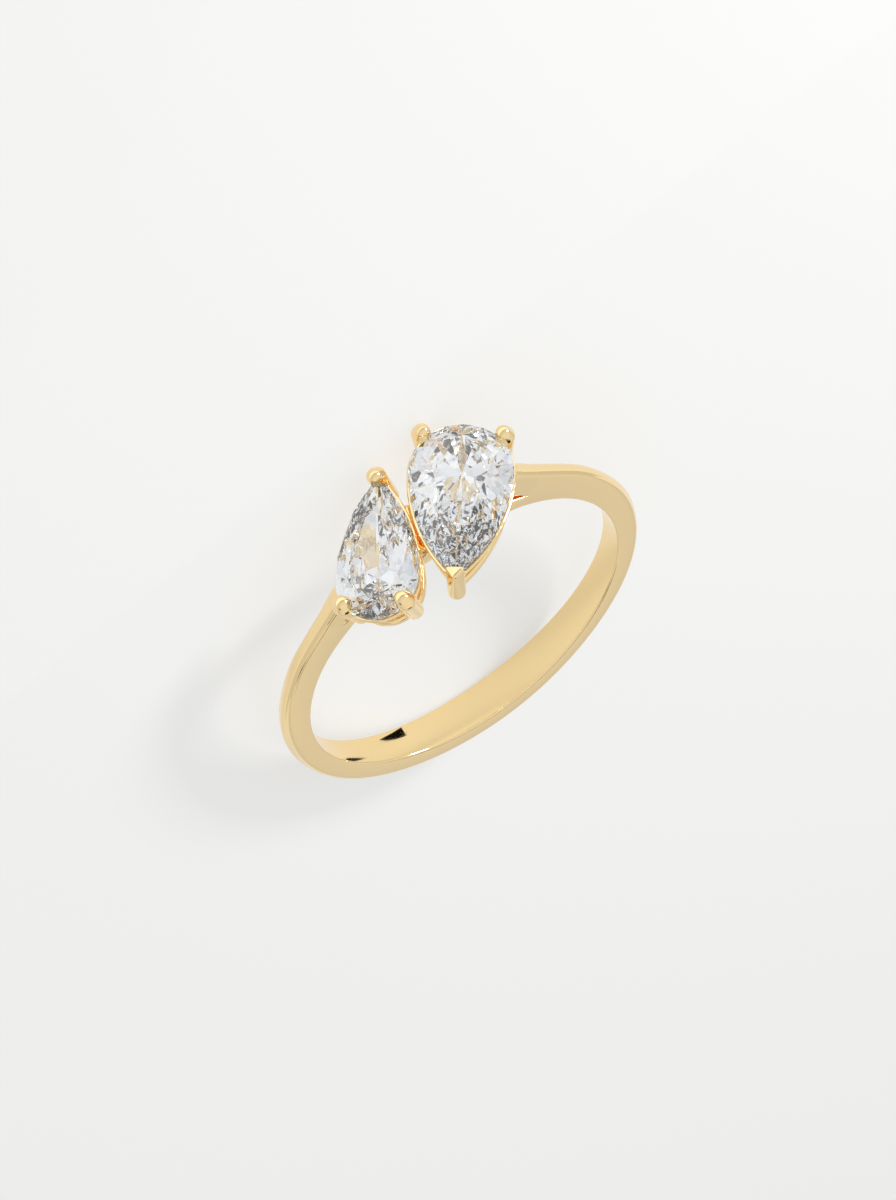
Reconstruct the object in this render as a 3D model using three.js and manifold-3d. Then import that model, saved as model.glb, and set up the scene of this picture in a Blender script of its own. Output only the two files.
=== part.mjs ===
// Toi et moi ring: a tapering gold band whose two shoulders rise straight to a pair of open settings, one for a
// large pear-cut stone and one for a small one, set head to tail.
// Millimetres. The ring is modelled about its finger hole: X across the head, Y along the finger, Z out
// through the head. It is then laid on its side, on the three points that it rests on, with +Z up.
import * as THREE from 'three';
import { ConvexGeometry } from 'three/addons/geometries/ConvexGeometry.js';
import { ConvexHull } from 'three/addons/math/ConvexHull.js';
import { mergeVertices } from 'three/addons/utils/BufferGeometryUtils.js';
import Module from 'manifold-3d';

const wasm = await Module();
wasm.setup();

// Band
const HOLE_DIAMETER = 17.3;
const FOOT_WIDTH = 1.95;
const FOOT_THICKNESS = 1.19;
const DOME_DROP = 0.14;
const EDGE_BEVEL = 0.09;
const DOME_PROFILE = [{ across: 0.8, rise: 0.3 }, { across: 0.3, rise: 1 }];

// Shoulders: each leaves the band at its angle and runs straight up to the head over a thin bridge
const RIGHT_SHOULDER_ANGLE = 52;
const LEFT_SHOULDER_ANGLE = 47;
const SHOULDER_REACH = 22;
const SHOULDER_BLEND = 6;
const BRIDGE_THICKNESS = 0.72;
const SLOT_ANGLE = 35;
const SLOT_FLARE = 17;

// Stones: length, width and depths, and where each lies over the head
const LARGE_LENGTH = 8.0;
const LARGE_WIDTH = 4.85;
const SMALL_LENGTH = 6.75;
const SMALL_WIDTH = 3.98;
const GIRDLE_THICKNESS = 0.14;
const CROWN_SHARE = 0.145;
const PAVILION_SHARE = 0.4;
const LARGE_HEIGHT = 11.22;
const SMALL_HEIGHT = 10.97;
const LARGE_LEAN = 8;
const SMALL_LEAN = -11;
const LARGE_AWAY = 2.11;
const SMALL_AWAY = 2.18;
const STONE_STAGGER = 0.52;
const STONE_BEARING = 53;
const SEAT_GAP = 0.05;

// Settings
const RIM_OVERHANG = 0.1;
const RIM_DROP = 0.18;
const RIM_HEIGHT = 1.15;
const RIM_WALL = 0.34;
const RIM_TAPER = 0.39;
const RAIL_HEIGHT = 0.5;
const RAIL_WALL = 0.5;
const CLAW_LENGTH = 2.05;
const CLAW_RADIUS = 0.48;
const CLAW_FOOT_RADIUS = 0.44;
const LARGE_STANDOFF = 0.08;
const SMALL_STANDOFF = -0.04;
const TIP_STANDOFF = -0.1;
const CLAW_LEAN = 6;
const BALL_RADIUS = 0.39;
const BALL_HEIGHT = 0.6;
const POST_TUCK = 0.2;
const POST_DROP = 0.8;
const CLAW_BEARING = 132;
const TIP_CLAW_WIDTH = 0.86;
const TIP_CLAW_OVERHANG = 0.17;
const TIP_CLAW_RISE = 0.42;
const TIP_CLAW_SOFTNESS = 0.1;
const TIP_CLAW_FRONT = 0.6;

// Densities in grams per cubic millimetre, for the point that the ring balances on, and how squarely its
// resting side faces the back
const GOLD_DENSITY = 0.0131;
const STONE_DENSITY = 0.0035;
const BACK_FACING = 0.8;

// Fineness of round shapes
const BAND_STEPS = 56;
const BRIDGE_STEPS = 24;
const OUTLINE_STEPS = 11;
const BALL_STEPS = 14;

const GOLD = { color: 0xe3bd7b, metalness: 1, roughness: 0.14 };
const STONE = { color: 0xf4f6f8, metalness: 0, roughness: 0.02 };

const radians = THREE.MathUtils.degToRad;
const holeRadius = HOLE_DIAMETER / 2;

// Width and thickness of the band by the angle from the head, as shares of those at the foot
const BAND_SECTIONS = [
  { angle: 0, width: 0.42, right: 1.43, left: 1.39 },
  { angle: 35, width: 0.42, right: 1.43, left: 1.39 },
  { angle: 50, width: 0.42, right: 1.43, left: 1.38 },
  { angle: 65, width: 0.48, right: 1.235, left: 1.18 },
  { angle: 90, width: 0.64, right: 1.18, left: 1.08 },
  { angle: 135, width: 0.84, right: 1.065, left: 1.19 },
  { angle: 180, width: 1.0, right: 1.0, left: 1.0 },
];

// The main facets of a pear cut: the bearing of each facet's outward normal, and how far the table stands in
// from the edge there, as a share of the stone's width
const PEAR_MAINS = [
  { bearing: 0, inset: 0.44 },
  { bearing: 62, inset: 0.235 },
  { bearing: 98, inset: 0.2 },
  { bearing: 138, inset: 0.2 },
  { bearing: 180, inset: 0.2 },
];
const STAR_DROP = 0.46;
const LOWER_HALF_REACH = 0.24;
// How far the halves beside the tip stand off it, against halfway between two mains
const TIP_HALF_SHIFT = 1.7;

// Measures of a closed skin

function pointsOf(geometry) {
  const position = geometry.attributes.position;
  return Array.from({ length: position.count }, (_, i) => new THREE.Vector3().fromBufferAttribute(position, i));
}

// Its volume, and that volume times the place of its centre
function moment(geometry) {
  const corners = pointsOf(geometry.index ? geometry.toNonIndexed() : geometry);
  const sum = new THREE.Vector3();
  let volume = 0;
  for (let i = 0; i < corners.length; i += 3) {
    const [a, b, c] = [corners[i], corners[i + 1], corners[i + 2]];
    const share = a.dot(b.clone().cross(c)) / 6;
    volume += share;
    sum.addScaledVector(a.clone().add(b).add(c), share / 4);
  }
  return { sum, volume };
}

// Shapes made of sections

// A closed skin through sections that all have the same number of points, the last joined to the first
function loft(sections) {
  const count = sections[0].length;
  const index = [];
  sections.forEach((section, i) => {
    const next = (i + 1) % sections.length;
    section.forEach((point, j) => {
      const after = (j + 1) % count;
      const [a, b] = [i * count + j, i * count + after];
      const [c, d] = [next * count + j, next * count + after];
      index.push(a, c, b, b, c, d);
    });
  });
  const geometry = new THREE.BufferGeometry().setFromPoints(sections.flat());
  geometry.setIndex(index);
  // the faces point outwards whichever way the sections run
  if (moment(geometry).volume < 0) geometry.setIndex(index.reverse());
  return geometry;
}

// A smooth value between the rows of a table, which holds its slope through each row
function along(table, angle, column) {
  const upper = Math.max(1, table.findIndex((row) => row.angle >= angle));
  const slope = (i) => {
    const before = table[Math.max(0, i - 1)];
    const after = table[Math.min(table.length - 1, i + 1)];
    const level = i === 0 || i === table.length - 1;
    return level ? 0 : (after[column] - before[column]) / (after.angle - before.angle);
  };
  const [low, high] = [table[upper - 1], table[upper]];
  const span = high.angle - low.angle;
  const t = (angle - low.angle) / span;
  const ease = t * t * (3 - 2 * t);
  const bend = t * (1 - t) * ((1 - t) * slope(upper - 1) - t * slope(upper)) * span;
  return low[column] + (high[column] - low[column]) * ease + bend;
}

// The convex solid inside a set of planes, each with its outward normal
function solidInsidePlanes(planes) {
  const poles = planes.map((plane) => plane.normal.clone().divideScalar(-plane.constant));
  const corners = new Map();
  for (const face of new ConvexHull().setFromPoints(poles).faces) {
    const corner = face.normal.clone().divideScalar(face.constant);
    const key = corner.toArray().map((value) => value.toFixed(4)).join();
    corners.set(key, corner);
  }
  return new ConvexGeometry([...corners.values()]);
}

// Joining and cutting

function solid(geometry) {
  const bare = geometry.clone();
  bare.deleteAttribute('normal');
  bare.deleteAttribute('uv');
  const merged = mergeVertices(bare, 1e-5);
  return new wasm.Manifold(new wasm.Mesh({
    numProp: 3,
    vertProperties: new Float32Array(merged.attributes.position.array),
    triVerts: new Uint32Array(merged.index.array),
  }));
}

const join = (geometries) => geometries.map(solid).reduce((sum, piece) => sum.add(piece));
const cut = (body, geometries) => geometries.map(solid).reduce((rest, piece) => rest.subtract(piece), body);

function geometryOf(body) {
  const mesh = body.getMesh();
  const geometry = new THREE.BufferGeometry();
  geometry.setAttribute('position', new THREE.BufferAttribute(mesh.vertProperties, 3));
  geometry.setIndex(new THREE.BufferAttribute(mesh.triVerts, 1));
  return geometry;
}

// Pear outlines. A pear is a round end about the origin and two long arcs that meet at a tip on +X.

function pear(length, width) {
  const half = width / 2;
  const tip = length - half;
  return { half, tip, arc: (tip * tip + half * half) / width };
}

// The point of the outline, moved out by offset, whose outward normal has this bearing
function pearPoint({ half, arc, tip }, bearing, offset = 0) {
  const side = Math.sign(bearing) || 1;
  const turn = Math.abs(bearing);
  const drop = arc - half;
  const tipTurn = Math.acos(Math.sqrt((arc + offset) ** 2 - drop ** 2) / (arc + offset));
  if (turn <= THREE.MathUtils.radToDeg(tipTurn)) {
    return new THREE.Vector2(Math.sqrt((arc + offset) ** 2 - drop ** 2), 0);
  }
  const reach = turn < 90 ? arc + offset : half + offset;
  const [x, y] = [reach * Math.cos(radians(turn)), reach * Math.sin(radians(turn))];
  return new THREE.Vector2(x, side * (turn < 90 ? y - drop : y));
}

// Bearings from the tip round one side, over the round end and back to the tip
function pearBearings(shape, steps) {
  const first = 90 - THREE.MathUtils.radToDeg(Math.asin(shape.tip / shape.arc));
  const side = [];
  for (let i = 1; i <= steps; i += 1) side.push(first + ((90 - first) * i) / steps);
  for (let i = 1; i < steps; i += 1) side.push(90 + (90 * i) / steps);
  return [0, ...side, 180, ...side.map((bearing) => -bearing).reverse()];
}

// A wall that follows the outline: each corner of its section is an offset and a height
function pearWall(shape, corners) {
  return loft(pearBearings(shape, OUTLINE_STEPS).map((bearing) => corners.map(({ offset, height }) => {
    const point = pearPoint(shape, bearing, offset);
    return new THREE.Vector3(point.x, point.y, height);
  })));
}

// Stones

// All planes of a pear brilliant, moved out by grow: table, stars, mains and halves above the girdle, mains
// and halves below it, and the many sides of the girdle itself
function pearPlanes(length, width, grow) {
  const shape = pear(length, width);
  const rise = GIRDLE_THICKNESS / 2;
  const crown = rise + CROWN_SHARE * width;
  const culet = new THREE.Vector3(0, 0, -rise - PAVILION_SHARE * width);
  const mirrored = PEAR_MAINS.slice(1, -1).map((main) => ({ ...main, bearing: -main.bearing })).reverse();
  const mains = [...PEAR_MAINS, ...mirrored];
  const planes = [];
  const plane = (a, b, c) => {
    const face = new THREE.Plane().setFromCoplanarPoints(a, b, c);
    if (face.constant > 0) face.negate();
    planes.push(face);
    return face;
  };
  const edge = (bearing, height) => {
    const point = pearPoint(shape, bearing);
    return new THREE.Vector3(point.x, point.y, height);
  };
  const facets = mains.map(({ bearing, inset }) => {
    const out = new THREE.Vector3(Math.cos(radians(bearing)), Math.sin(radians(bearing)), 0);
    const level = new THREE.Vector3(-out.y, out.x, 0);
    const girdle = edge(bearing, rise);
    const table = girdle.clone().addScaledVector(out, -inset * width).setZ(crown);
    const under = edge(bearing, -rise);
    return {
      bearing,
      table,
      crown: plane(girdle, girdle.clone().add(level), table),
      pavilion: plane(under, under.clone().add(level), culet),
    };
  });
  facets.forEach((facet, i) => {
    const next = facets[(i + 1) % facets.length];
    let middle = (facet.bearing + next.bearing) / 2;
    if (Math.abs(facet.bearing - next.bearing) > 180) middle += 180;
    if (Math.min(Math.abs(facet.bearing), Math.abs(next.bearing)) === 0) middle *= TIP_HALF_SHIFT;
    // where two neighbouring mains meet, partway down from the table and partway up from the culet
    const shared = facet.crown.normal.clone().cross(next.crown.normal);
    const ridge = meetingPoint(facet.crown, next.crown, new THREE.Plane(new THREE.Vector3(0, 0, 1), -crown));
    const fall = (STAR_DROP * (crown - rise)) / Math.abs(shared.z);
    const star = ridge.clone().addScaledVector(shared, -Math.sign(shared.z) * fall);
    const keel = facet.pavilion.normal.clone().cross(next.pavilion.normal);
    const climb = (LOWER_HALF_REACH * PAVILION_SHARE * width) / keel.z;
    const heel = culet.clone().addScaledVector(keel, climb);
    plane(facet.table, next.table, star);
    for (const neighbour of [facet, next]) {
      plane(star, edge(neighbour.bearing, rise), edge(middle, rise));
      plane(heel, edge(neighbour.bearing, -rise), edge(middle, -rise));
    }
  });
  planes.push(new THREE.Plane(new THREE.Vector3(0, 0, 1), -crown));
  const rim = pearBearings(shape, OUTLINE_STEPS).map((bearing) => edge(bearing, 0));
  rim.forEach((point, i) => {
    const next = rim[(i + 1) % rim.length];
    plane(point, next, point.clone().setZ(1));
  });
  for (const face of planes) face.constant -= grow;
  return planes;
}

function meetingPoint(a, b, c) {
  const [n1, n2, n3] = [a.normal, b.normal, c.normal];
  const sum = new THREE.Vector3()
    .addScaledVector(n2.clone().cross(n3), -a.constant)
    .addScaledVector(n3.clone().cross(n1), -b.constant)
    .addScaledVector(n1.clone().cross(n2), -c.constant);
  return sum.divideScalar(n1.dot(n2.clone().cross(n3)));
}

// Settings, each in its stone's own frame: origin at the middle of the round end, +X to the tip, +Z out

function ballPoints(centre, radius) {
  return pointsOf(new THREE.SphereGeometry(radius, BALL_STEPS, BALL_STEPS / 2).translate(...centre));
}

// A claw with a ball end: a rounded post outside the stone and a ball that leans over its edge
function ballClaw(place, inward) {
  const top = place.clone().addScaledVector(inward, -POST_TUCK * BALL_RADIUS);
  const foot = place.clone().addScaledVector(inward, CLAW_LENGTH * Math.tan(radians(CLAW_LEAN)));
  const post = new ConvexGeometry([
    ...ballPoints([top.x, top.y, BALL_HEIGHT - POST_DROP * BALL_RADIUS], CLAW_RADIUS),
    ...ballPoints([foot.x, foot.y, CLAW_FOOT_RADIUS - CLAW_LENGTH], CLAW_FOOT_RADIUS),
  ]);
  const ball = new ConvexGeometry(ballPoints([place.x, place.y, BALL_HEIGHT], BALL_RADIUS));
  return [post, ball];
}

// The claw over the large stone's tip: a three-cornered cap on a post that narrows downwards
function tipClaw(shape) {
  const half = TIP_CLAW_WIDTH / 2;
  const soft = TIP_CLAW_SOFTNESS * TIP_CLAW_WIDTH;
  const back = shape.tip + TIP_CLAW_OVERHANG - half;
  const corners = [
    [back, half - soft, TIP_CLAW_RISE - soft],
    [back, soft - half, TIP_CLAW_RISE - soft],
    [shape.tip + TIP_CLAW_OVERHANG, 0, TIP_CLAW_FRONT * TIP_CLAW_RISE - soft],
  ];
  return [new ConvexGeometry([
    ...corners.flatMap((corner) => ballPoints(corner, soft)),
    ...ballPoints([shape.tip - CLAW_FOOT_RADIUS / 2, 0, CLAW_FOOT_RADIUS - CLAW_LENGTH], CLAW_FOOT_RADIUS),
  ])];
}

// The rim under the girdle and the rail that the claws stand on
function settingWalls(shape) {
  const rimFoot = -RIM_HEIGHT;
  const railOut = RIM_OVERHANG - RIM_TAPER;
  return [
    pearWall(shape, [
      { offset: RIM_OVERHANG, height: -RIM_DROP },
      { offset: RIM_OVERHANG - RIM_WALL, height: -RIM_DROP },
      { offset: RIM_OVERHANG - RIM_TAPER - RIM_WALL, height: rimFoot },
      { offset: RIM_OVERHANG - RIM_TAPER, height: rimFoot },
    ]),
    pearWall(shape, [
      { offset: railOut, height: RAIL_HEIGHT - CLAW_LENGTH },
      { offset: railOut - RAIL_WALL, height: RAIL_HEIGHT - CLAW_LENGTH },
      { offset: railOut - RAIL_WALL, height: -CLAW_LENGTH },
      { offset: railOut, height: -CLAW_LENGTH },
    ]),
  ];
}

// The open well inside the rim, which the shoulders stop at
function well(shape) {
  const outline = pearBearings(shape, OUTLINE_STEPS).map((bearing) => pearPoint(shape, bearing, -RIM_WALL / 2));
  return new ConvexGeometry([-RIM_HEIGHT, CLAW_LENGTH].flatMap((height) => (
    outline.map((point) => new THREE.Vector3(point.x, point.y, height)))));
}

// One stone with its seat: where it lies, its claws, and the space that is cut for it
function setStone({ name, length, width, height, away, lean, side, standoff, capped }) {
  const shape = pear(length, width);
  const frame = new THREE.Object3D();
  frame.position.set(side * away, (-side * STONE_STAGGER) / 2, height);
  frame.rotation.set(0, radians(lean), 0);
  frame.rotateZ(radians(side > 0 ? STONE_BEARING - 180 : STONE_BEARING));
  frame.translateX(-(length - width) / 2);
  frame.updateMatrix();
  const claws = [-CLAW_BEARING, CLAW_BEARING].flatMap((bearing) => {
    const out = new THREE.Vector3(Math.cos(radians(bearing)), Math.sin(radians(bearing)), 0);
    const place = out.clone().multiplyScalar(shape.half + standoff);
    return ballClaw(place, out.negate());
  });
  const tipPlace = new THREE.Vector3(shape.tip + TIP_STANDOFF, 0, 0);
  claws.push(...(capped ? tipClaw(shape) : ballClaw(tipPlace, new THREE.Vector3(-1, 0, 0))));
  const metal = [...settingWalls(shape), ...claws];
  const seat = solidInsidePlanes(pearPlanes(length, width, SEAT_GAP));
  const stone = solidInsidePlanes(pearPlanes(length, width, 0));
  const placed = (geometry) => geometry.applyMatrix4(frame.matrix);
  return {
    name, metal: metal.map(placed), seat: placed(seat), well: placed(well(shape)), stone: placed(stone),
  };
}

// Band

// Distance of the band's crown from the hole's centre: the shoulders run straight from their angle upwards
function sharpCrown(angle) {
  const turn = Math.min(Math.abs(angle), 360 - Math.abs(angle));
  const [column, shoulder] = angle < 0 ? ['left', LEFT_SHOULDER_ANGLE] : ['right', RIGHT_SHOULDER_ANGLE];
  const start = holeRadius + FOOT_THICKNESS * along(BAND_SECTIONS, Math.max(turn, shoulder), column);
  const rise = shoulder - Math.max(SHOULDER_REACH, Math.min(turn, shoulder));
  return start / Math.cos(radians(rise));
}

// The same with the bend at each shoulder's angle softened, as the mean of what lies about it
function crownRadius(angle) {
  const near = [-1, -0.5, 0, 0.5, 1].map((share) => sharpCrown(angle + share * SHOULDER_BLEND));
  return near.reduce((sum, reach) => sum + reach) / near.length;
}

function bandSection(angle) {
  const half = (FOOT_WIDTH * along(BAND_SECTIONS, Math.abs(angle), 'width')) / 2;
  const crown = crownRadius(angle);
  const side = crown - DOME_DROP;
  const dome = DOME_PROFILE.map(({ across, rise }) => [side + rise * DOME_DROP, across * half]);
  const front = [
    [holeRadius, half - EDGE_BEVEL], [holeRadius + EDGE_BEVEL, half], [side - EDGE_BEVEL, half], ...dome,
  ];
  const profile = [...front, ...front.map(([reach, across]) => [reach, -across]).reverse()];
  const out = new THREE.Vector3(Math.sin(radians(angle)), 0, Math.cos(radians(angle)));
  return profile.map(([reach, across]) => out.clone().multiplyScalar(reach).setY(across));
}

function band() {
  const sections = [];
  for (let i = 0; i < BAND_STEPS; i += 1) sections.push(bandSection(-180 + (360 * i) / BAND_STEPS));
  return loft(sections);
}

// The open space under the head: above the bridge, below the shoulders' straight undersides
function underHead() {
  const reach = holeRadius + BRIDGE_THICKNESS;
  const outline = new THREE.Shape();
  outline.absarc(0, 0, reach, radians(90 - SLOT_ANGLE), radians(90 + SLOT_ANGLE), false);
  const turn = radians(SLOT_ANGLE);
  const corner = new THREE.Vector2(reach * Math.sin(turn), reach * Math.cos(turn));
  const climb = Math.tan(radians(SLOT_ANGLE + SLOT_FLARE));
  outline.lineTo(0, corner.y + corner.x * climb);
  const options = { depth: FOOT_WIDTH, bevelEnabled: false, curveSegments: BRIDGE_STEPS };
  const geometry = new THREE.ExtrudeGeometry(outline, options);
  return geometry.translate(0, 0, -FOOT_WIDTH / 2).rotateX(Math.PI / 2);
}

// Laying the ring down

// The outward normal of the face that the ring rests on: of its outer hull, the one on the back of the finger
// that its weight falls through
function restingSide(points, balance) {
  const back = new THREE.Vector3(0, 1, 0);
  for (const face of new ConvexHull().setFromPoints(points).faces) {
    const corners = [face.getEdge(0), face.getEdge(1), face.getEdge(2)].map((edge) => edge.head().point);
    const below = balance.clone().addScaledVector(face.normal, face.constant - face.normal.dot(balance));
    const carries = new THREE.Triangle(...corners).containsPoint(below);
    if (carries && face.normal.dot(back) > BACK_FACING) return face.normal;
  }
  return back;
}

const large = setStone({
  name: 'large_pear_stone', length: LARGE_LENGTH, width: LARGE_WIDTH, height: LARGE_HEIGHT,
  away: LARGE_AWAY, lean: LARGE_LEAN, side: 1, standoff: LARGE_STANDOFF, capped: true,
});
const small = setStone({
  name: 'small_pear_stone', length: SMALL_LENGTH, width: SMALL_WIDTH, height: SMALL_HEIGHT,
  away: SMALL_AWAY, lean: SMALL_LEAN, side: -1, standoff: SMALL_STANDOFF, capped: false,
});

const hole = new THREE.CylinderGeometry(holeRadius, holeRadius, 4 * SMALL_LENGTH, BAND_STEPS);
const shank = cut(solid(band()), [underHead(), large.well, small.well]);
const mount = cut(join([...large.metal, ...small.metal]).add(shank), [hole, large.seat, small.seat]);

const ring = new THREE.Group();
function place(name, geometry, look) {
  const mesh = new THREE.Mesh(geometry, new THREE.MeshStandardMaterial(look));
  mesh.name = name;
  ring.add(mesh);
}
place('ring_mount', geometryOf(mount), GOLD);
place(large.name, large.stone, STONE);
place(small.name, small.stone, STONE);

const weights = [GOLD_DENSITY, STONE_DENSITY, STONE_DENSITY];
const parts = ring.children.map((mesh, i) => ({ ...moment(mesh.geometry), density: weights[i] }));
const weight = parts.reduce((sum, part) => sum + part.volume * part.density, 0);
const balance = new THREE.Vector3();
for (const part of parts) balance.addScaledVector(part.sum, part.density / weight);

// Head towards -Y and back of the finger down, then rolled onto the resting side
const upright = new THREE.Matrix4().makeBasis(
  new THREE.Vector3(-1, 0, 0), new THREE.Vector3(0, 0, -1), new THREE.Vector3(0, -1, 0));
const points = ring.children.flatMap((mesh) => pointsOf(mesh.geometry));
const under = restingSide(points, balance).clone().transformDirection(upright);
const roll = new THREE.Quaternion().setFromUnitVectors(under, new THREE.Vector3(0, 0, -1));
ring.quaternion.copy(roll.multiply(new THREE.Quaternion().setFromRotationMatrix(upright)));
const extent = new THREE.Box3().setFromPoints(points.map((point) => point.applyQuaternion(ring.quaternion)));
const middle = extent.getCenter(new THREE.Vector3());
ring.position.set(-middle.x, -middle.y, -extent.min.z);

const part = new THREE.Group();
part.add(ring);
export default part;
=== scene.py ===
from math import acos, asin, atan2, cos, degrees, hypot, pi, radians, sin, sqrt, tan

import bmesh
import bpy
from mathutils import Matrix, Vector


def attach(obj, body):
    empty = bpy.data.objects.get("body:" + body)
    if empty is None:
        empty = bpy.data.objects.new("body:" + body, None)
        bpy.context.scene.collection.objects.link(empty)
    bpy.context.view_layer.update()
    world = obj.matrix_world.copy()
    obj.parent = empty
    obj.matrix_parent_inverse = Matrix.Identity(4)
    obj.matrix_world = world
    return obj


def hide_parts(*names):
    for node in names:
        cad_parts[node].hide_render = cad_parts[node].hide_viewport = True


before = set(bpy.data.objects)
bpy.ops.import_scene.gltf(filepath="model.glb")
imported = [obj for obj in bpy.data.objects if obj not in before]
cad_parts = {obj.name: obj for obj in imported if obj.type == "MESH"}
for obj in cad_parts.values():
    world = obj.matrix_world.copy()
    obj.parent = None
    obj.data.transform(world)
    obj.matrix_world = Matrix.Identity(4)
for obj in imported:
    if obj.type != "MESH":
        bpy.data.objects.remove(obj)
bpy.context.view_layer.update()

# The ring is modelled in millimetres about its finger hole, as its solids are: X across the head, Y along the
# finger, Z out through the head. Then it is laid on its side, in metres.
MILLIMETRE = 0.001
ROLL = radians(8.24627)
ROLL_BEARING = radians(157.91547)
HOLE_PLACE = Vector((0.05670, 1.40058, 2.31126))

upright = Matrix(((-1, 0, 0, 0), (0, 0, -1, 0), (0, -1, 0, 0), (0, 0, 0, 1)))
roll_axis = Vector((cos(ROLL_BEARING), sin(ROLL_BEARING), 0))
lay_down = (
    Matrix.Translation(HOLE_PLACE * MILLIMETRE)
    @ Matrix.Rotation(ROLL, 4, roll_axis)
    @ upright
    @ Matrix.Scale(MILLIMETRE, 4)
)

# Camera, from the ring
CAMERA_PLACE = Vector((-33.56, -127.47, 269.49))
CAMERA_TARGET = Vector((0.223, 1.076, 0.542))
CAMERA_UP = Vector((0.5705, 0.7109, 0.4114))
CAMERA_LENS = 191.43

# Band
HOLE_RADIUS = 8.65
BORE_SINK = 0.03
FOOT_WIDTH = 1.95
FOOT_THICKNESS = 1.19
DOME_DROP = 0.14
DOME_POWER = 2.4
RIGHT_SHOULDER_ANGLE = 52
LEFT_SHOULDER_ANGLE = 47
SHOULDER_REACH = 22
SHOULDER_BLEND = 6
BLEND_SAMPLES = 9
BRIDGE_THICKNESS = 0.72
SLOT_ANGLE = 35
SLOT_FLARE = 17
SLOT_STEPS = 64
EDGE_SOFTNESS = 0.09
CORNER_STEPS = 5
CORNER = 0.1
BAND_STEPS = 280
DOME_STEPS = 14
BAND_CREASE = 30

# By the angle from the head: width and thickness as shares of the foot's, and how soft the crown's edges are
BAND_SECTIONS = [
    {"angle": 0, "width": 0.42, "right": 1.43, "left": 1.39, "soft": 0.07},
    {"angle": 35, "width": 0.42, "right": 1.43, "left": 1.39, "soft": 0.07},
    {"angle": 50, "width": 0.42, "right": 1.43, "left": 1.38, "soft": 0.08},
    {"angle": 65, "width": 0.48, "right": 1.235, "left": 1.18, "soft": 0.16},
    {"angle": 90, "width": 0.64, "right": 1.18, "left": 1.08, "soft": 0.34},
    {"angle": 135, "width": 0.84, "right": 1.065, "left": 1.19, "soft": 0.3},
    {"angle": 180, "width": 1.0, "right": 1.0, "left": 1.0, "soft": 0.2},
]

# Stones and their settings
STONE_STAGGER = 0.52
STONE_BEARING = 53
STONES = [
    {"node": "large_pear_stone", "setting": "large_setting", "length": 8.0, "width": 4.85, "height": 11.22,
     "away": 2.11, "lean": 8, "side": 1, "standoff": 0.08, "capped": True},
    {"node": "small_pear_stone", "setting": "small_setting", "length": 6.75, "width": 3.98, "height": 10.97,
     "away": 2.18, "lean": -11, "side": -1, "standoff": -0.04, "capped": False},
]
SEAT_GROWTH = 1.015
RIM_OVERHANG = 0.14
RIM_DROP = 0.18
RIM_HEIGHT = 1.15
RIM_WALL = 0.34
RIM_TAPER = 0.39
WALL_CHAMFER = 0.08
RAIL_HEIGHT = 0.5
RAIL_WALL = 0.5
CLAW_LENGTH = 2.05
CLAW_RADIUS = 0.475
CLAW_FOOT_RADIUS = 0.44
CLAW_LEAN = 6
TIP_STANDOFF = -0.1
BALL_RADIUS = 0.39
BALL_HEIGHT = 0.6
POST_TUCK = 0.2
POST_DROP = 0.8
CLAW_BEARING = 132
TIP_CLAW_WIDTH = 0.86
TIP_CLAW_OVERHANG = 0.15
TIP_CLAW_RISE = 0.42
TIP_CLAW_SOFTNESS = 0.1
TIP_CLAW_FRONT = 0.93
OUTLINE_STEPS = 96
BALL_SUBDIVISIONS = 3
CAST_GRAIN = 0.045
CAST_SMOOTHING = 12
SETTING_CREASE = 50
EVEN_SHINE = 80
ROOT_ANGLE = 46
ROOT_START = 22
ROOT_FLARE = 0.1
ROOT_THINNING = 0.09

# Solder between the two settings, from above
WEB_CORNERS = [(0.12, 1.4), (-0.76, -0.72), (-0.48, -0.76)]
WEB_TOP = 10.3
WEB_DEPTH = 0.4
WEB_RADIUS = 0.17

# Distances within which corners are one
MERGE_DISTANCE = 0.001
CUT_DISTANCE = 1e-5

# Colours and finishes
GOLD_COLOUR = (0.955, 0.735, 0.39, 1)
BAND_POLISH = {"scale": 700, "gloss": 0.05, "haze": 0.11, "bump": 0.08}
SETTING_POLISH = {"scale": 1500, "gloss": 0.07, "haze": 0.14, "bump": 0.15}
POLISH_RELIEF = 0.00001
STONE_COLOUR = (0.9, 0.935, 0.97, 1)
STONE_IOR = 2.417

# Studio. The floor glows a little, so that it stays as even as a photographer's pale ground
FLOOR_RADIUS = 3
FLOOR_COLOUR = (0.26, 0.26, 0.257, 1)
FLOOR_GLOW_COLOUR = (1, 1, 0.985, 1)
FLOOR_GLOW = 0.56
SKY_LOW = {"position": 0.15, "colour": (0.68, 0.68, 0.69, 1)}
SKY_HIGH = {"position": 0.8, "colour": (0.9, 0.9, 0.9, 1)}
KEY_PLACE = (-150, -65, 66)
KEY_SIZE = 34
KEY_POWER = 0.34

# Cards that stand round the ring, by their middle, and cards that lie on the floor, by their outline
STANDING_CARDS = [
    {"name": "back_flag", "place": (10, 118, 108), "wide": 90, "tall": 50, "shade": 0.01},
    {"name": "front_flag", "place": (-28, -198, 4), "wide": 170, "tall": 22, "shade": 0.01},
    {"name": "side_flag", "place": (170, 60, 90), "wide": 60, "tall": 60, "shade": 0.12},
]
FLOOR_CARDS = [
    {"name": "hole_flag", "outline": [(4.3, 7.7), (3.8, 8.45), (2.5, 7.85)], "shade": 0.005},
    {"name": "front_glow", "outline": [(-45, -80), (35, -80), (35, -13), (-45, -13)], "shade": 1.3},
]
FLOOR_CARD_BOTTOM = 0.01
FLOOR_CARD_TOP = 0.03

# Light goes round inside a cut stone many times before it leaves
MOST_BOUNCES = 28
MIRROR_BOUNCES = 12
GLASS_BOUNCES = 20


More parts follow.
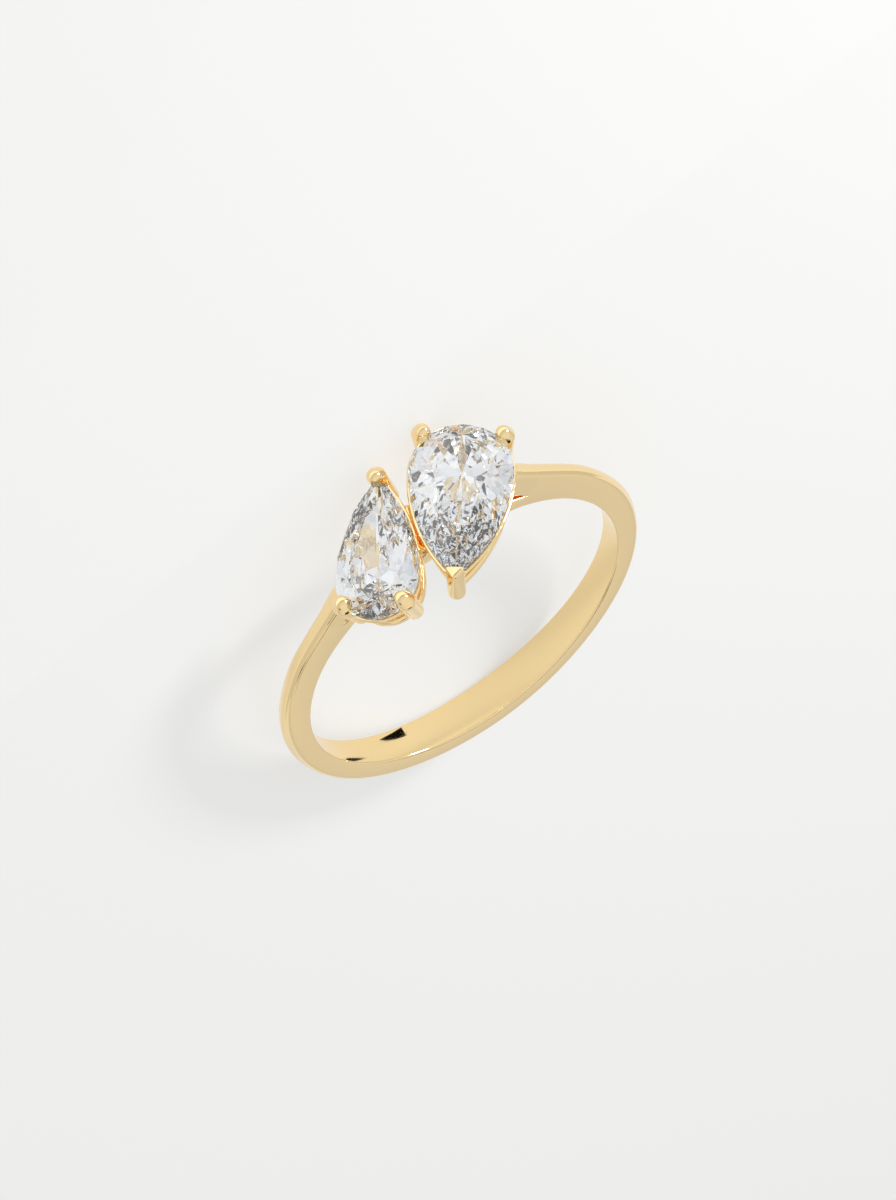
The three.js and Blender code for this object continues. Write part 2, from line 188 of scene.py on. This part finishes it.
def make_camera():
    data = bpy.data.cameras.new("camera")
    data.lens = CAMERA_LENS
    camera = bpy.data.objects.new("camera", data)
    bpy.context.scene.collection.objects.link(camera)
    back = (CAMERA_PLACE - CAMERA_TARGET).normalized()
    right = CAMERA_UP.cross(back).normalized()
    turn = Matrix((right, back.cross(right), back)).transposed().to_4x4()
    laid = lay_down @ Matrix.Translation(CAMERA_PLACE) @ turn
    place, rotation, _ = laid.decompose()
    camera.matrix_world = Matrix.LocRotScale(place, rotation, None)
    data.clip_start = 0.01
    data.clip_end = 20
    bpy.context.scene.camera = camera


# Shapes

def along(table, angle, column):
    """A smooth value between the rows of a table, which holds its slope through each row."""
    upper = next((i for i, row in enumerate(table) if row["angle"] >= angle and i > 0), len(table) - 1)

    def slope(i):
        if i in (0, len(table) - 1):
            return 0
        before, after = table[i - 1], table[i + 1]
        return (after[column] - before[column]) / (after["angle"] - before["angle"])

    low, high = table[upper - 1], table[upper]
    span = high["angle"] - low["angle"]
    t = (angle - low["angle"]) / span
    ease = t * t * (3 - 2 * t)
    bend = t * (1 - t) * ((1 - t) * slope(upper - 1) - t * slope(upper)) * span
    return low[column] + (high[column] - low[column]) * ease + bend


def sharp_crown(angle):
    """Distance of the band's crown from the hole's centre. The shoulders run straight from their angle."""
    turn = min(abs(angle), 360 - abs(angle))
    column, shoulder = ("left", LEFT_SHOULDER_ANGLE) if angle < 0 else ("right", RIGHT_SHOULDER_ANGLE)
    start = HOLE_RADIUS + FOOT_THICKNESS * along(BAND_SECTIONS, max(turn, shoulder), column)
    rise = shoulder - max(SHOULDER_REACH, min(turn, shoulder))
    return start / cos(radians(rise))


def crown_radius(angle):
    """The same with the bend at each shoulder's angle softened, as the mean of what lies about it."""
    shares = [2 * i / (BLEND_SAMPLES - 1) - 1 for i in range(BLEND_SAMPLES)]
    return sum(sharp_crown(angle + share * SHOULDER_BLEND) for share in shares) / BLEND_SAMPLES


def spun(section, steps, place):
    """A closed section of (radius, height), spun a full turn about Z. Each point then goes to its place,
    worked out from its angle in degrees, radius and height."""
    bm = bmesh.new()
    verts = [bm.verts.new((radius, 0, height)) for radius, height in section]
    edges = [bm.edges.new((verts[i - 1], verts[i])) for i in range(len(verts))]
    bmesh.ops.spin(
        bm, geom=verts + edges, axis=(0, 0, 1), cent=(0, 0, 0), angle=2 * pi, steps=steps, use_merge=True
    )
    for vert in bm.verts:
        vert.co = place(degrees(atan2(vert.co.y, vert.co.x)), hypot(vert.co.x, vert.co.y), vert.co.z)
    bmesh.ops.recalc_face_normals(bm, faces=bm.faces)
    return bm


def pear(length, width):
    half = width / 2
    tip = length - half
    return {"half": half, "tip": tip, "arc": (tip * tip + half * half) / width}


def pear_point(shape, turn, offset, height):
    """The point of a pear outline, moved out by offset, at a share of the way round: the tip at 0 degrees,
    the middle of the round end at 180."""
    half, arc = shape["half"], shape["arc"]
    drop = arc - half
    if abs(turn) < 0.01:
        return Vector((sqrt((arc + offset) ** 2 - drop**2), 0, height))
    first = 90 - degrees(asin(shape["tip"] / arc))
    bearing = first + (180 - first) * abs(turn) / 180
    tip_bearing = degrees(acos(sqrt((arc + offset) ** 2 - drop**2) / (arc + offset)))
    bearing = max(bearing, tip_bearing)
    side = 1 if turn > 0 else -1
    reach = arc + offset if bearing < 90 else half + offset
    x, y = reach * cos(radians(bearing)), reach * sin(radians(bearing))
    return Vector((x, side * (y - drop if bearing < 90 else y), height))


def pear_wall(shape, corners):
    """A wall round a pear outline, from the corners of its section as (offset, height), each cut off."""
    middle = 10
    cut = []
    for i, corner in enumerate(corners):
        here = Vector(corner)
        for other in (corners[i - 1], corners[(i + 1) % len(corners)]):
            cut.append(here + (Vector(other) - here).normalized() * WALL_CHAMFER)
    return spun(
        [(middle + offset, height) for offset, height in cut],
        OUTLINE_STEPS,
        lambda turn, radius, height: pear_point(shape, turn, radius - middle, height),
    )


def hull(balls):
    """The solid that wraps a set of balls, each with its centre and radius."""
    bm = bmesh.new()
    for centre, radius in balls:
        bmesh.ops.create_icosphere(
            bm, subdivisions=BALL_SUBDIVISIONS, radius=radius, matrix=Matrix.Translation(centre)
        )
    bmesh.ops.delete(bm, geom=bm.edges[:] + bm.faces[:], context="EDGES_FACES")
    wrapped = bmesh.ops.convex_hull(bm, input=bm.verts)
    inside = [part for part in wrapped["geom_interior"] if isinstance(part, bmesh.types.BMVert)]
    bmesh.ops.delete(bm, geom=inside, context="VERTS")
    bmesh.ops.recalc_face_normals(bm, faces=bm.faces)
    return bm


def prism(outline, low, high):
    """A flat outline of (x, y), drawn out from one height to another."""
    bm = bmesh.new()
    face = bm.faces.new([bm.verts.new((x, y, low)) for x, y in outline])
    drawn = bmesh.ops.extrude_face_region(bm, geom=[face])
    top = [part for part in drawn["geom"] if isinstance(part, bmesh.types.BMVert)]
    bmesh.ops.translate(bm, verts=top, vec=(0, 0, high - low))
    bmesh.ops.recalc_face_normals(bm, faces=bm.faces)
    return bm


# Objects, still in millimetres about the finger hole

def object_of(name, shapes, matrix=None):
    """One object made of several closed shapes."""
    mesh = bpy.data.meshes.new(name)
    joined = bmesh.new()
    for shape in shapes:
        if matrix:
            bmesh.ops.transform(shape, matrix=matrix, verts=shape.verts)
        shape.to_mesh(mesh)
        shape.free()
        joined.from_mesh(mesh)
    joined.to_mesh(mesh)
    joined.free()
    made = bpy.data.objects.new(name, mesh)
    bpy.context.scene.collection.objects.link(made)
    return made


def bake_modifiers(piece):
    bpy.context.view_layer.update()
    graph = bpy.context.evaluated_depsgraph_get()
    mesh = bpy.data.meshes.new_from_object(piece.evaluated_get(graph))
    piece.modifiers.clear()
    piece.data = mesh


def cut_away(piece, tools):
    for tool in tools:
        modifier = piece.modifiers.new(tool.name, "BOOLEAN")
        modifier.operation = "DIFFERENCE"
        modifier.solver = "EXACT"
        modifier.object = tool
    bake_modifiers(piece)


def finish_piece(piece, material, crease):
    """Lays a metal piece down in its place and hands it to the ring."""
    bm = bmesh.new()
    bm.from_mesh(piece.data)
    bmesh.ops.transform(bm, matrix=lay_down, verts=bm.verts)
    for face in bm.faces:
        face.smooth = True
    bm.to_mesh(piece.data)
    bm.free()
    piece.data.set_sharp_from_angle(angle=radians(crease))
    piece.data.materials.clear()
    piece.data.materials.append(material)
    weighted = piece.modifiers.new("even_shine", "WEIGHTED_NORMAL")
    weighted.keep_sharp = True
    weighted.weight = EVEN_SHINE
    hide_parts("ring_mount")
    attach(piece, "root")


# Band

def band_section():
    """The band's section in shares, with round corners: across from -1 to 1, and from the hole at 1 to the
    crown at 2. A corner takes the share CORNER of either."""
    crown = [(1 - CORNER) * (2 * i / DOME_STEPS - 1) for i in range(1, DOME_STEPS)]
    points = [(2, across) for across in crown]
    for side, level, first in ((1, 2, 0), (1, 1, 90), (-1, 1, 180), (-1, 2, 270)):
        for i in range(CORNER_STEPS + 1):
            turn = radians(first + 90 * i / CORNER_STEPS)
            inward = CORNER / 2 if level == 1 else -CORNER / 2
            points.append((
                level + inward + CORNER / 2 * cos(turn),
                side * (1 - CORNER) + CORNER * sin(turn),
            ))
    return points


def stretched(share, length, corner):
    """A length at a share of the way from the middle, where the last share CORNER is a corner's own size."""
    size = abs(share)
    inside = min(size, 1 - CORNER) / (1 - CORNER) * (length - corner)
    return (inside + max(size - 1 + CORNER, 0) / CORNER * corner) * (1 if share > 0 else -1)


def band_point(angle, level, across):
    width = FOOT_WIDTH * along(BAND_SECTIONS, abs(angle), "width")
    dome = DOME_DROP * min(abs(across), 1) ** DOME_POWER
    thickness = crown_radius(angle) - dome - HOLE_RADIUS
    middle = HOLE_RADIUS + thickness / 2
    soft = along(BAND_SECTIONS, abs(angle), "soft") if level > 1.5 else EDGE_SOFTNESS
    reach = middle + stretched(2 * level - 3, thickness / 2, soft)
    turn = radians(angle)
    return Vector((reach * sin(turn), stretched(across, width / 2, soft), reach * cos(turn)))


def band_shape():
    return spun(band_section(), BAND_STEPS, band_point)


def under_head():
    """The open space under the head: above the bridge, below the shoulders' straight undersides."""
    reach = HOLE_RADIUS + BRIDGE_THICKNESS
    turns = [radians(SLOT_ANGLE * (1 - 2 * i / SLOT_STEPS)) for i in range(SLOT_STEPS + 1)]
    outline = [(reach * sin(turn), reach * cos(turn)) for turn in turns]
    corner_x, corner_z = outline[0]
    outline.append((0, corner_z + corner_x * tan(radians(SLOT_ANGLE + SLOT_FLARE))))
    bm = prism(outline, -FOOT_WIDTH, FOOT_WIDTH)
    bmesh.ops.rotate(bm, verts=bm.verts, cent=(0, 0, 0), matrix=Matrix.Rotation(pi / 2, 3, "X"))
    return bm


# Settings, each in its stone's own frame: origin at the middle of the round end, +X to the tip, +Z out

def stone_frame(stone):
    side = stone["side"]
    bearing = STONE_BEARING - 180 if side > 0 else STONE_BEARING
    return (
        Matrix.Translation((side * stone["away"], -side * STONE_STAGGER / 2, stone["height"]))
        @ Matrix.Rotation(radians(stone["lean"]), 4, "Y")
        @ Matrix.Rotation(radians(bearing), 4, "Z")
        @ Matrix.Translation((-(stone["length"] - stone["width"]) / 2, 0, 0))
    )


def ball_claw(place, inward):
    """A rounded post outside the stone, whose round end leans over the stone's edge."""
    top = place - POST_TUCK * BALL_RADIUS * inward
    foot = place + CLAW_LENGTH * tan(radians(CLAW_LEAN)) * inward
    return hull([
        (Vector((place.x, place.y, BALL_HEIGHT)), BALL_RADIUS),
        (Vector((top.x, top.y, BALL_HEIGHT - POST_DROP * BALL_RADIUS)), CLAW_RADIUS),
        (Vector((foot.x, foot.y, CLAW_FOOT_RADIUS - CLAW_LENGTH)), CLAW_FOOT_RADIUS),
    ])


def tip_claw(shape):
    """A three-cornered cap over the stone's tip, on a post that narrows downwards."""
    half, soft = TIP_CLAW_WIDTH / 2, TIP_CLAW_SOFTNESS
    tip = shape["tip"]
    back = tip + TIP_CLAW_OVERHANG - half
    return hull([
        (Vector((back, half - soft, TIP_CLAW_RISE - soft)), soft),
        (Vector((back, soft - half, TIP_CLAW_RISE - soft)), soft),
        (Vector((tip + TIP_CLAW_OVERHANG, 0, TIP_CLAW_FRONT * TIP_CLAW_RISE - soft)), soft),
        (Vector((tip - CLAW_FOOT_RADIUS / 2, 0, CLAW_FOOT_RADIUS - CLAW_LENGTH)), CLAW_FOOT_RADIUS),
    ])


def setting_shapes(stone):
    shape = pear(stone["length"], stone["width"])
    rim_top = -RIM_DROP
    rim_in = RIM_OVERHANG - RIM_TAPER
    rail_top = RAIL_HEIGHT - CLAW_LENGTH
    rim = pear_wall(shape, [
        (RIM_OVERHANG, rim_top), (RIM_OVERHANG - RIM_WALL, rim_top),
        (rim_in - RIM_WALL, -RIM_HEIGHT), (rim_in, -RIM_HEIGHT),
    ])
    rail = pear_wall(shape, [
        (rim_in, rail_top), (rim_in - RAIL_WALL, rail_top),
        (rim_in - RAIL_WALL, -CLAW_LENGTH), (rim_in, -CLAW_LENGTH),
    ])
    claws = []
    for bearing in (-CLAW_BEARING, CLAW_BEARING):
        out = Vector((cos(radians(bearing)), sin(radians(bearing)), 0))
        claws.append(ball_claw(out * (shape["half"] + stone["standoff"]), -out))
    if stone["capped"]:
        claws.append(tip_claw(shape))
    else:
        claws.append(ball_claw(Vector((shape["tip"] + TIP_STANDOFF, 0, 0)), Vector((-1, 0, 0))))
    return [rim, rail, *claws]


def well_shape(stone):
    shape = pear(stone["length"], stone["width"])
    turns = [360 * i / OUTLINE_STEPS - 180 for i in range(OUTLINE_STEPS)]
    outline = [pear_point(shape, turn, -RIM_WALL / 2, 0) for turn in turns]
    return prism([(point.x, point.y) for point in outline], -RIM_HEIGHT, CLAW_LENGTH)


def seat_of(stone):
    """The space that a stone takes out of the metal: the stone itself, a little larger."""
    bm = bmesh.new()
    bm.from_mesh(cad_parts[stone["node"]].data)
    bmesh.ops.transform(bm, matrix=lay_down.inverted(), verts=bm.verts)
    bmesh.ops.remove_doubles(bm, verts=bm.verts, dist=MERGE_DISTANCE)
    middle = sum((vert.co for vert in bm.verts), Vector()) / len(bm.verts)
    bmesh.ops.scale(
        bm, vec=(SEAT_GROWTH,) * 3, space=Matrix.Translation(-middle), verts=bm.verts
    )
    bmesh.ops.recalc_face_normals(bm, faces=bm.faces)
    return object_of(stone["node"] + "_seat", [bm])


def settings_web():
    """The solder that closes the narrow end of the gap between the two settings."""
    return hull([
        (Vector((x, y, z)), WEB_RADIUS) for x, y in WEB_CORNERS for z in (WEB_TOP, WEB_TOP - WEB_DEPTH)
    ])


def shoulder_root(side):
    """The end of a shoulder and of the bridge under it, for a setting to run into. It flares at the setting
    and sinks into the band at its other end."""
    bm = bmesh.new()
    bm.from_mesh(band.data)
    end = Vector((side * cos(radians(ROOT_ANGLE)), 0, -sin(radians(ROOT_ANGLE))))
    for normal in (end, Vector((-side, 0, 0))):
        parts = bm.verts[:] + bm.edges[:] + bm.faces[:]
        cut = bmesh.ops.bisect_plane(
            bm, geom=parts, plane_co=(0, 0, 0), plane_no=normal, clear_outer=True, dist=CUT_DISTANCE
        )
        edges = [part for part in cut["geom_cut"] if isinstance(part, bmesh.types.BMEdge)]
        bmesh.ops.edgeloop_fill(bm, edges=edges)
    bmesh.ops.recalc_face_normals(bm, faces=bm.faces)
    for vert in bm.verts:
        angle = degrees(atan2(abs(vert.co.x), vert.co.z))
        share = (angle - ROOT_START) / (ROOT_ANGLE - ROOT_START)
        vert.co += vert.normal * (ROOT_FLARE * (1 - share) - ROOT_THINNING * share)
    return bm


def cast(piece):
    """Runs the shapes of a setting into one another, with the soft inner corners of solder."""
    remesh = piece.modifiers.new("cast", "REMESH")
    remesh.mode = "VOXEL"
    remesh.voxel_size = CAST_GRAIN
    remesh.adaptivity = 0
    bake_modifiers(piece)
    smooth = piece.modifiers.new("polish", "SMOOTH")
    smooth.factor = 0.5
    smooth.iterations = CAST_SMOOTHING
    bake_modifiers(piece)


# Materials

def node_group(name, inputs, outputs):
    tree = bpy.data.node_groups.new(name, "ShaderNodeTree")
    for label, kind, value in inputs:
        socket = tree.interface.new_socket(label, in_out="INPUT", socket_type=kind)
        if value is not None:
            socket.default_value = value
    for label, kind in outputs:
        tree.interface.new_socket(label, in_out="OUTPUT", socket_type=kind)
    return tree, tree.nodes.new("NodeGroupInput"), tree.nodes.new("NodeGroupOutput")


def polish_group():
    """The marks of polishing: faint cloudiness that changes the gloss, and hairline waviness."""
    tree, given, result = node_group(
        "polish",
        [("Vector", "NodeSocketVector", None), ("Scale", "NodeSocketFloat", 900.0),
         ("Gloss", "NodeSocketFloat", 0.08), ("Haze", "NodeSocketFloat", 0.2)],
        [("Roughness", "NodeSocketFloat"), ("Height", "NodeSocketFloat")],
    )
    clouds = tree.nodes.new("ShaderNodeTexNoise")
    clouds.inputs["Detail"].default_value = 5
    spread = tree.nodes.new("ShaderNodeMapRange")
    tree.links.new(given.outputs["Vector"], clouds.inputs["Vector"])
    tree.links.new(given.outputs["Scale"], clouds.inputs["Scale"])
    tree.links.new(clouds.outputs["Fac"], spread.inputs["Value"])
    spread.inputs["From Min"].default_value = 0.35
    spread.inputs["From Max"].default_value = 0.75
    tree.links.new(given.outputs["Gloss"], spread.inputs["To Min"])
    tree.links.new(given.outputs["Haze"], spread.inputs["To Max"])
    tree.links.new(spread.outputs["Result"], result.inputs["Roughness"])
    tree.links.new(clouds.outputs["Fac"], result.inputs["Height"])
    return tree


def gold(name, marks_group, scale, gloss, haze, bump):
    material = bpy.data.materials.new(name)
    material.use_nodes = True
    nodes, links = material.node_tree.nodes, material.node_tree.links
    shader = nodes["Principled BSDF"]
    shader.inputs["Base Color"].default_value = GOLD_COLOUR
    shader.inputs["Metallic"].default_value = 1
    place = nodes.new("ShaderNodeTexCoord")
    marks = nodes.new("ShaderNodeGroup")
    marks.node_tree = marks_group
    links.new(place.outputs["Object"], marks.inputs["Vector"])
    marks.inputs["Scale"].default_value = scale
    marks.inputs["Gloss"].default_value = gloss
    marks.inputs["Haze"].default_value = haze
    links.new(marks.outputs["Roughness"], shader.inputs["Roughness"])
    relief = nodes.new("ShaderNodeBump")
    relief.inputs["Strength"].default_value = bump
    relief.inputs["Distance"].default_value = POLISH_RELIEF
    links.new(marks.outputs["Height"], relief.inputs["Height"])
    links.new(relief.outputs["Normal"], shader.inputs["Normal"])
    return material


def clear_stone():
    material = bpy.data.materials.new("clear_stone")
    material.use_nodes = True
    shader = material.node_tree.nodes["Principled BSDF"]
    shader.inputs["Base Color"].default_value = STONE_COLOUR
    shader.inputs["Metallic"].default_value = 0
    shader.inputs["Roughness"].default_value = 0
    shader.inputs["IOR"].default_value = STONE_IOR
    shader.inputs["Transmission Weight"].default_value = 1
    return material


# Studio

def key_light(shadow_of):
    """A square soft box, aimed at the ring. The floor beside the head stays clear, because only the objects
    in shadow_of throw its soft shadow."""
    data = bpy.data.lights.new("key", "AREA")
    data.size = KEY_SIZE * MILLIMETRE
    data.energy = KEY_POWER
    key = bpy.data.objects.new("key", data)
    bpy.context.scene.collection.objects.link(key)
    place = Vector(KEY_PLACE) * MILLIMETRE
    key.matrix_world = Matrix.LocRotScale(place, place.to_track_quat("Z", "Y"), None)
    casters = bpy.data.collections.new("shadow_casters")
    for caster in shadow_of:
        casters.objects.link(caster)
    key.light_linking.blocker_collection = casters


def standing_card(name, place, wide, tall, shade):
    """A card that faces the ring. Its place is in millimetres from the ring."""
    bm = bmesh.new()
    bmesh.ops.create_grid(bm, x_segments=1, y_segments=1, size=0.5)
    bmesh.ops.scale(bm, vec=(wide, tall, 1), verts=bm.verts)
    turn = Vector(place).to_track_quat("Z", "Y").to_matrix().to_4x4()
    bmesh.ops.transform(bm, matrix=Matrix.Translation(place) @ turn, verts=bm.verts)
    mirror_only(name, bm, shade, True)


def floor_card(name, outline, shade):
    mirror_only(name, prism(outline, FLOOR_CARD_BOTTOM, FLOOR_CARD_TOP), shade, False)


def mirror_only(name, bm, shade, seen_through):
    """A card that the polished metal and the stones mirror, unseen by the camera."""
    bmesh.ops.scale(bm, vec=(MILLIMETRE,) * 3, verts=bm.verts)
    card = object_of(name, [bm])
    material = bpy.data.materials.new(name)
    material.use_nodes = True
    nodes, links = material.node_tree.nodes, material.node_tree.links
    nodes.remove(nodes["Principled BSDF"])
    glow = nodes.new("ShaderNodeEmission")
    glow.inputs["Color"].default_value = (shade, shade, shade, 1)
    links.new(glow.outputs["Emission"], nodes["Material Output"].inputs["Surface"])
    card.data.materials.append(material)
    card.visible_camera = False
    card.visible_diffuse = False
    card.visible_shadow = False
    card.visible_transmission = seen_through


def make_floor():
    bm = bmesh.new()
    bmesh.ops.create_circle(bm, cap_ends=True, segments=96, radius=FLOOR_RADIUS)
    floor = object_of("floor", [bm])
    material = bpy.data.materials.new("pale_floor")
    material.use_nodes = True
    shader = material.node_tree.nodes["Principled BSDF"]
    shader.inputs["Base Color"].default_value = FLOOR_COLOUR
    shader.inputs["Roughness"].default_value = 0.9
    shader.inputs["Specular IOR Level"].default_value = 0.1
    shader.inputs["Emission Color"].default_value = FLOOR_GLOW_COLOUR
    shader.inputs["Emission Strength"].default_value = FLOOR_GLOW
    floor.data.materials.append(material)


def make_world():
    world = bpy.data.worlds.new("studio")
    world.use_nodes = True
    nodes, links = world.node_tree.nodes, world.node_tree.links
    background = nodes["Background"]
    place = nodes.new("ShaderNodeTexCoord")
    split = nodes.new("ShaderNodeSeparateXYZ")
    ramp = nodes.new("ShaderNodeValToRGB")
    links.new(place.outputs["Generated"], split.inputs["Vector"])
    links.new(split.outputs["Z"], ramp.inputs["Fac"])
    links.new(ramp.outputs["Color"], background.inputs["Color"])
    for end, level in zip(ramp.color_ramp.elements, (SKY_LOW, SKY_HIGH)):
        end.position, end.color = level["position"], level["colour"]
    background.inputs["Strength"].default_value = 1
    bpy.context.scene.world = world
    bpy.context.scene.view_settings.view_transform = "Standard"
    cycles = bpy.context.scene.cycles
    cycles.max_bounces = MOST_BOUNCES
    cycles.glossy_bounces = MIRROR_BOUNCES
    cycles.transmission_bounces = GLASS_BOUNCES


make_camera()
polish = polish_group()
band_gold = gold("polished_gold", polish, **BAND_POLISH)
setting_gold = gold("cast_gold", polish, **SETTING_POLISH)
diamond = clear_stone()

frames = {stone["node"]: stone_frame(stone) for stone in STONES}
seats = [seat_of(stone) for stone in STONES]
wells = [object_of(stone["node"] + "_well", [well_shape(stone)], frames[stone["node"]]) for stone in STONES]
slot_space = object_of("slot_space", [under_head()])
hole_shape = bmesh.new()
bmesh.ops.create_cone(
    hole_shape, cap_ends=True, segments=BAND_STEPS, depth=20,
    radius1=HOLE_RADIUS + BORE_SINK, radius2=HOLE_RADIUS + BORE_SINK,
    matrix=Matrix.Rotation(pi / 2, 4, "X"),
)
hole = object_of("finger_hole", [hole_shape])

band = object_of("band", [band_shape()])
cut_away(band, [slot_space, *wells, *seats])

for stone in STONES:
    shapes = setting_shapes(stone)
    for shape in shapes:
        bmesh.ops.transform(shape, matrix=frames[stone["node"]], verts=shape.verts)
    setting = object_of(stone["setting"], [*shapes, shoulder_root(stone["side"]), settings_web()])
    cast(setting)
    cut_away(setting, [hole, *seats])
    finish_piece(setting, setting_gold, SETTING_CREASE)
    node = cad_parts[stone["node"]]
    node.data.materials.clear()
    node.data.materials.append(diamond)
finish_piece(band, band_gold, BAND_CREASE)
for tool in [*seats, *wells, slot_space, hole]:
    bpy.data.objects.remove(tool)

make_floor()
make_world()
key_light([band])
for card in STANDING_CARDS:
    standing_card(**card)
for card in FLOOR_CARDS:
    floor_card(**card)
